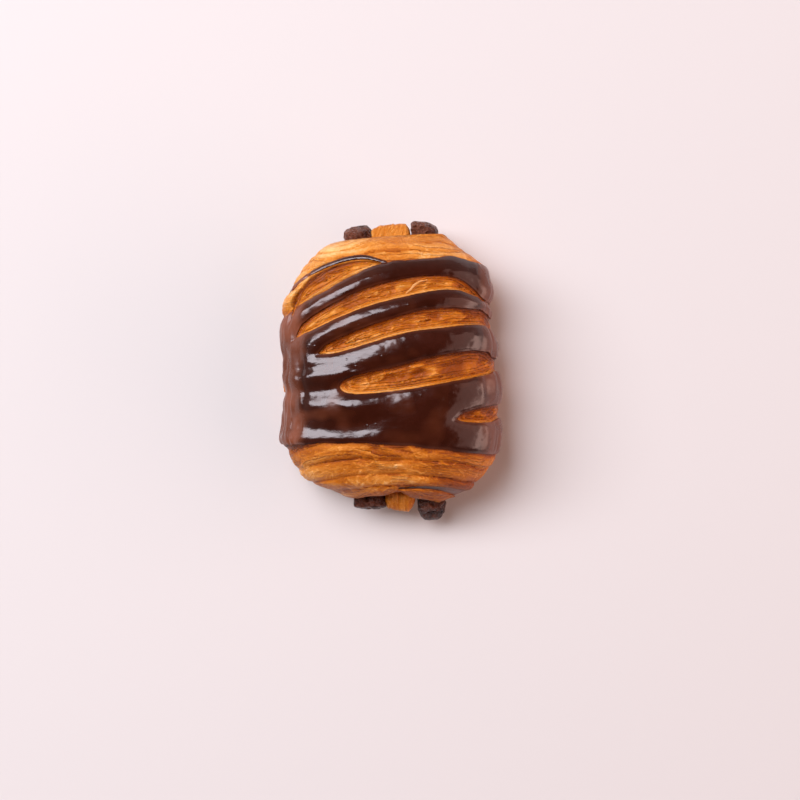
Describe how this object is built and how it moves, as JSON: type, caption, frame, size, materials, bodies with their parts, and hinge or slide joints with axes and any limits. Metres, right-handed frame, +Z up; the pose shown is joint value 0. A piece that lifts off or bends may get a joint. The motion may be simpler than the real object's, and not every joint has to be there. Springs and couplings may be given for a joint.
{
  "type": "pain au chocolat",
  "caption": "Baked pillow of laminated dough rolled round chocolate sticks, slashed on the slant and coated with glossy chocolate glaze.",
  "frame": {"origin": "under the middle of the pastry, on the surface it rests on", "axes": "+Y along the roll and its two chocolate sticks, +X across the roll towards the side where the slashes run down the flank, +Z up through the glazed top"},
  "size_m": [0.0772, 0.1028, 0.0403],
  "materials": {
    "baked_dough": "golden to deep brown baked crust, egg washed, satin, with papery flaking layers",
    "chocolate_glaze": "set dark chocolate glaze, glossy, a little uneven",
    "stick_chocolate": "baked dark chocolate, rough and pitted, with a faint greyish sheen"
  },
  "bodies": {
    "root": {"dough": "baked_dough", "glaze": "chocolate_glaze", "glaze_line": "chocolate_glaze", "chocolate_stick_left": "stick_chocolate", "chocolate_stick_right": "stick_chocolate"}
  },
  "joints": []
}
